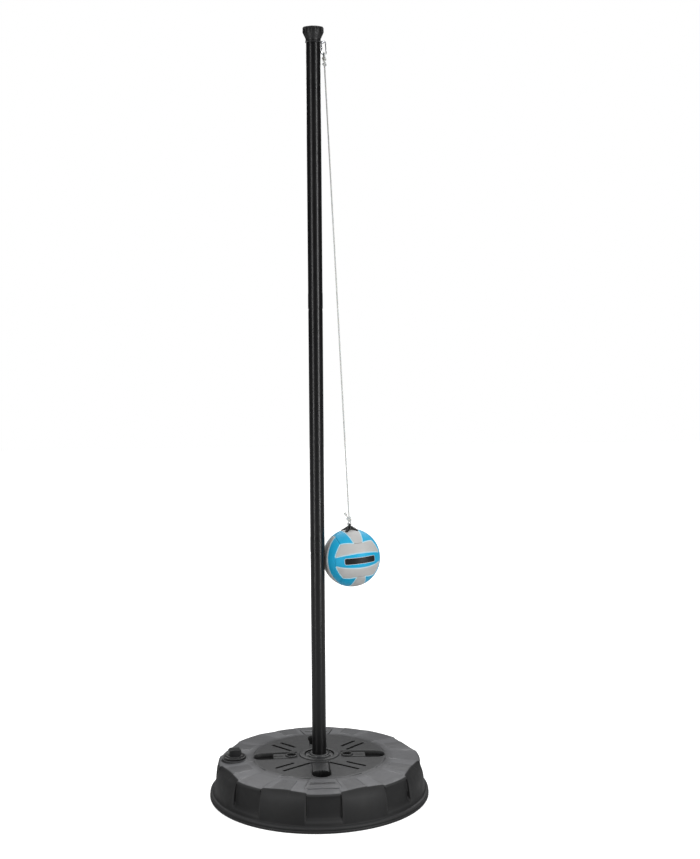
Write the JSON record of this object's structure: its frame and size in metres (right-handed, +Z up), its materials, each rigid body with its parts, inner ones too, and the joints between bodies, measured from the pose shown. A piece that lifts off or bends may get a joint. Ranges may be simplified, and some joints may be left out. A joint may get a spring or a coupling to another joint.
{
  "type": "tetherball set",
  "caption": "Portable tetherball set: hollow fillable round base, sectional steel pole, capped swivel, snap hook, rope and panelled ball.",
  "frame": {"origin": "centre of the base's underside, on the pole axis", "axes": "+Z up along the pole; -Y is the front of the base; -X is the fill cap's side"},
  "size_m": [0.695, 0.695, 2.383],
  "materials": {
    "base_hdpe": "fine moulded grain, slightly glossy on top",
    "collar_plastic": "smooth moulded",
    "fill_cap_plastic": "smooth moulded",
    "gasket_rubber": "matte",
    "zinc_steel": "bright zinc plate",
    "strap_steel": "black coat",
    "pole_steel": "satin black powder coat",
    "cap_plastic": "moulded",
    "wire_steel": "bright plated wire",
    "rope_white": "braided",
    "ball_blue": "soft-touch synthetic, fine pebble",
    "ball_grey": "soft-touch synthetic, fine pebble",
    "ball_fabric": "wound thread",
    "bladder_rubber": "smooth",
    "bridge_rubber": "moulded, satin"
  },
  "bodies": {
    "base": {"base_shell": "base_hdpe", "foot_strap": "strap_steel", "anchor_bolts": "zinc_steel", "anchor_washers": "zinc_steel", "anchor_nuts": "zinc_steel", "pole_collar": "collar_plastic"},
    "cap_seal": {"fill_cap_gasket": "gasket_rubber"},
    "cap": {"fill_cap": "fill_cap_plastic"},
    "lower_pole": {"lower_tube": "pole_steel", "pole_foot": "cap_plastic"},
    "middle_pole": {"middle_tube": "pole_steel"},
    "upper_pole": {"upper_tube": "pole_steel", "pole_cap": "cap_plastic"},
    "swivel": {"swivel_ring": "wire_steel"},
    "snap_hook": {"hook_body": "wire_steel", "gate_pin": "wire_steel"},
    "gate": {"hook_gate": "wire_steel", "gate_spring": "wire_steel"},
    "tether": {"upper_knot": "rope_white", "tether_rope": "rope_white", "lower_loop": "rope_white", "lower_knot": "rope_white"},
    "ball": {"ball_strap": "bridge_rubber", "blue_panels": "ball_blue", "grey_panels": "ball_grey", "ball_lining": "ball_fabric", "bladder": "bladder_rubber", "valve": "bladder_rubber"}
  },
  "joints": [
    {"name": "cap_lift", "type": "slide", "parent": "base", "child": "cap_seal", "axis": [0, 0, 1], "range_m": [0, 0.0101]},
    {"name": "cap_turn", "type": "hinge", "parent": "cap_seal", "child": "cap", "pos_m": [-0.268, 0, 0.12], "axis": [0, 0, 1], "range_deg": [0, 720]},
    {"name": "pole_lift", "type": "slide", "parent": "base", "child": "lower_pole", "axis": [0, 0, 1], "range_m": [0, 0.09]},
    {"name": "middle_lift", "type": "slide", "parent": "lower_pole", "child": "middle_pole", "axis": [0, 0, 1], "range_m": [0, 0.03]},
    {"name": "upper_lift", "type": "slide", "parent": "middle_pole", "child": "upper_pole", "axis": [0, 0, 1], "range_m": [0, 0.02]},
    {"name": "swivel_turn", "type": "hinge", "parent": "upper_pole", "child": "swivel", "pos_m": [0, 0, 2.3364], "axis": [0, 0, 1], "continuous": true},
    {"name": "hook_swing", "type": "hinge", "parent": "swivel", "child": "snap_hook", "pos_m": [0.0312, 0.01074, 2.3364], "axis": [0.3256, -0.9455, 0], "range_deg": [0, 85]},
    {"name": "gate_open", "type": "hinge", "parent": "snap_hook", "child": "gate", "pos_m": [0.02592, 0.00892, 2.31058], "axis": [-0.3256, 0.9455, 0], "range_deg": [0, 22], "stiffness_Nm_per_rad": 0.02, "springref_deg": -11.46},
    {"name": "tether_sway", "type": "hinge", "parent": "snap_hook", "child": "tether", "pos_m": [0.03287, 0.01132, 2.30194], "axis": [0.9443, 0.3251, 0.0511], "range_deg": [-60, 60]},
    {"name": "ball_swing", "type": "hinge", "parent": "tether", "child": "ball", "pos_m": [0.10268, 0.03536, 0.85811], "axis": [0.3256, -0.9455, 0], "range_deg": [0, 60]}
  ],
  "couplings": [
    {"joint": "cap_lift", "follows": "cap_turn", "m_per_rad": 0.00079577}
  ]
}
